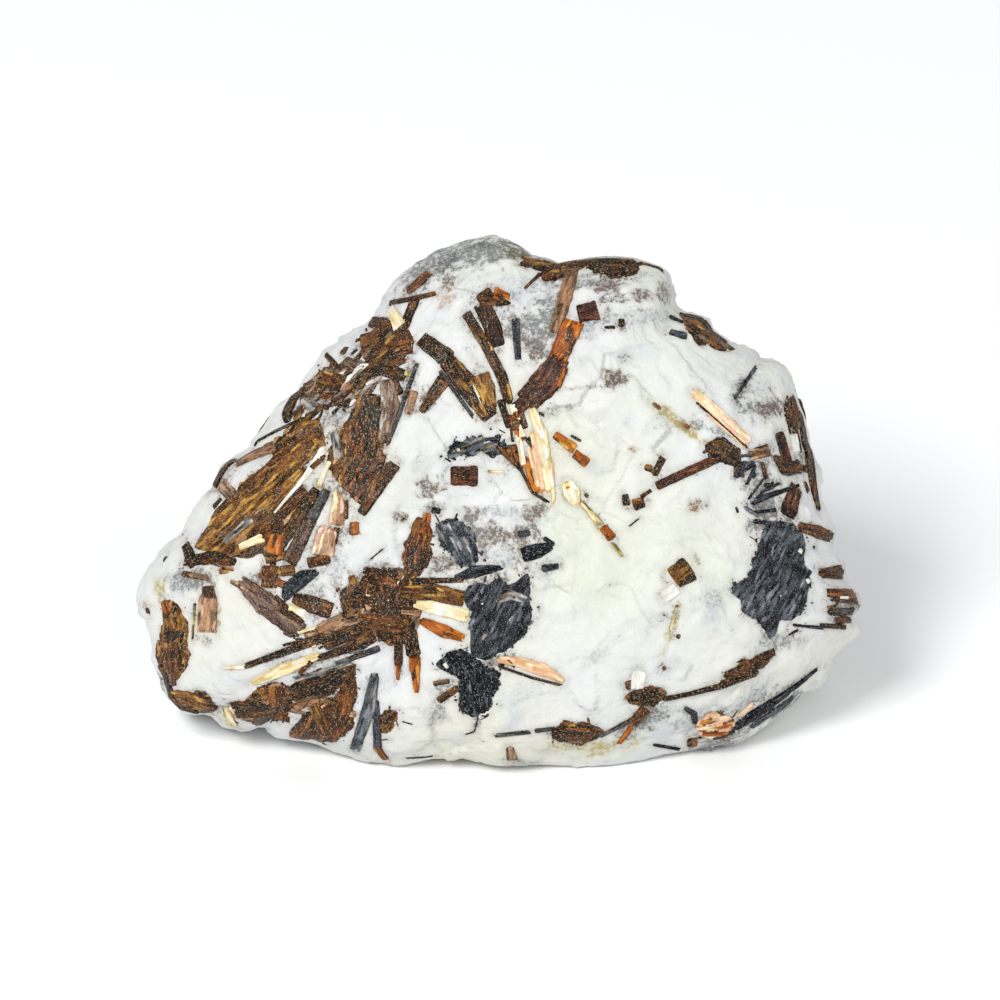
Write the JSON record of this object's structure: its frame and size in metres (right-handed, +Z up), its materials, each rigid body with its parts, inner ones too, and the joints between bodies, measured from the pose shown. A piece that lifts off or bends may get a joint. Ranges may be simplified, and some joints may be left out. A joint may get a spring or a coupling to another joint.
{
  "type": "astrophyllite specimen",
  "caption": "Hand specimen of white feldspar rock with bronze astrophyllite blades in sprays and black aegirine masses, resting on a flat broken underside",
  "frame": {"origin": "middle of the bounding box's underside, on the flat break that the lump rests on", "axes": "X runs along the lump to the right of its showy face, Y points away from that face to the back, Z is up"},
  "size_m": [0.0904, 0.049, 0.0569],
  "materials": {
    "feldspar": "white broken feldspar, satin cleavage faces and dull granular breaks",
    "astrophyllite": "lamellar blades, bronze to red-brown and amber, with a vitreous to metallic sheen",
    "aegirine": "black to slate-grey needles and striated masses, vitreous"
  },
  "bodies": {
    "root": {"aegirine_back_mass": "aegirine", "aegirine_dark_hook": "aegirine", "aegirine_edge_seam": "aegirine", "aegirine_flat_splinter": "aegirine", "aegirine_grey_needles": "aegirine", "aegirine_long_splinter": "aegirine", "aegirine_lower_mass": "aegirine", "aegirine_middle_mass": "aegirine", "aegirine_ragged_arch": "aegirine", "aegirine_right_mass": "aegirine", "aegirine_side_mass": "aegirine", "aegirine_small_brick": "aegirine", "aegirine_striped_mass": "aegirine", "aegirine_upright_needle": "aegirine", "astrophyllite_amber_chip": "astrophyllite", "astrophyllite_amber_tablet": "astrophyllite", "astrophyllite_back_fan": "astrophyllite", "astrophyllite_back_pair": "astrophyllite", "astrophyllite_back_star": "astrophyllite", "astrophyllite_brown_tablet": "astrophyllite", "astrophyllite_chevron": "astrophyllite", "astrophyllite_copper_blade": "astrophyllite", "astrophyllite_copper_patch": "astrophyllite", "astrophyllite_crest_blades": "astrophyllite", "astrophyllite_crest_cluster": "astrophyllite", "astrophyllite_curled_blade": "astrophyllite", "astrophyllite_dark_knot": "astrophyllite", "astrophyllite_gold_tablet": "astrophyllite", "astrophyllite_golden_bar": "astrophyllite", "astrophyllite_grey_blade": "astrophyllite", "astrophyllite_inner_bundle": "astrophyllite", "astrophyllite_ledge_seam": "astrophyllite", "astrophyllite_left_sheaf": "astrophyllite", "astrophyllite_left_side_fan": "astrophyllite", "astrophyllite_lobe_blade": "astrophyllite", "astrophyllite_lobe_seam": "astrophyllite", "astrophyllite_long_blade": "astrophyllite", "astrophyllite_low_cluster": "astrophyllite", "astrophyllite_lower_band": "astrophyllite", "astrophyllite_olive_tablet": "astrophyllite", "astrophyllite_oval_flake": "astrophyllite", "astrophyllite_peach_blade": "astrophyllite", "astrophyllite_pink_tablets": "astrophyllite", "astrophyllite_red_tablet": "astrophyllite", "astrophyllite_right_side_fan": "astrophyllite", "astrophyllite_rim_blade": "astrophyllite", "astrophyllite_slanted_tablet": "astrophyllite", "astrophyllite_small_block": "astrophyllite", "astrophyllite_square_tablet": "astrophyllite", "astrophyllite_star": "astrophyllite", "astrophyllite_upper_bar": "astrophyllite", "astrophyllite_upper_fan": "astrophyllite", "astrophyllite_violet_blade": "astrophyllite", "feldspar": "feldspar"}
  },
  "joints": []
}
